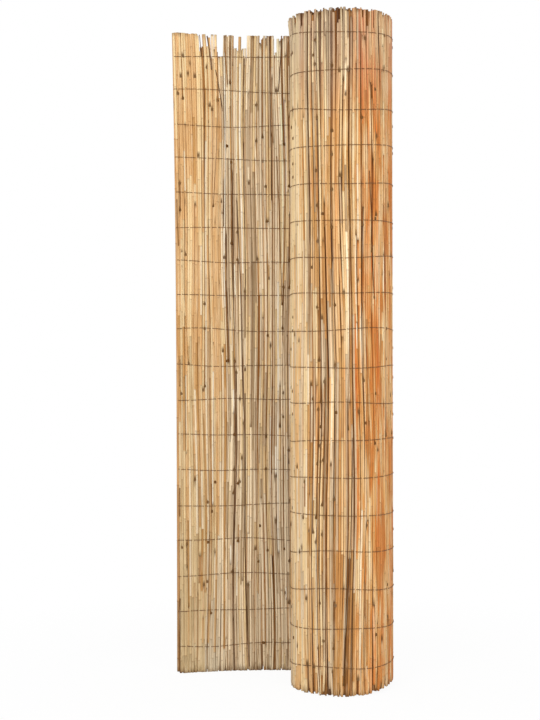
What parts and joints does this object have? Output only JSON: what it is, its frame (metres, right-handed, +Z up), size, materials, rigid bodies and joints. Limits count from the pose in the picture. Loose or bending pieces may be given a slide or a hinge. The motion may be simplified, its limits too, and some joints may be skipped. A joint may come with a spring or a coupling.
{
  "type": "reed screening roll",
  "caption": "Roll of wire-bound reed screening standing on its end, with the free end of the mat unrolled to one side.",
  "frame": {"origin": "middle of the plan's bounding box, on the floor that the roll stands on", "axes": "+Z up along the reeds and the roll's axis, +X from the mat's free edge towards the roll, +Y away from the side that the picture shows"},
  "size_m": [0.613, 0.3064, 1.8],
  "materials": {
    "reed": "dry peeled reed, satin, straw yellow to rust brown",
    "rolled_reed": "dry peeled reed, cut ends, matt",
    "binding_wire": "thin annealed wire, dark brown"
  },
  "bodies": {
    "root": {"rolled_reeds": "rolled_reed", "outer_reed_layer": "reed", "binding_wire_01": "binding_wire", "binding_wire_02": "binding_wire", "binding_wire_03": "binding_wire", "binding_wire_04": "binding_wire", "binding_wire_05": "binding_wire", "binding_wire_06": "binding_wire", "binding_wire_07": "binding_wire", "binding_wire_08": "binding_wire", "binding_wire_09": "binding_wire", "binding_wire_10": "binding_wire", "binding_wire_11": "binding_wire", "binding_wire_12": "binding_wire", "binding_wire_13": "binding_wire", "binding_wire_14": "binding_wire", "binding_wire_15": "binding_wire", "binding_wire_16": "binding_wire", "binding_wire_17": "binding_wire", "binding_wire_18": "binding_wire"}
  },
  "joints": []
}
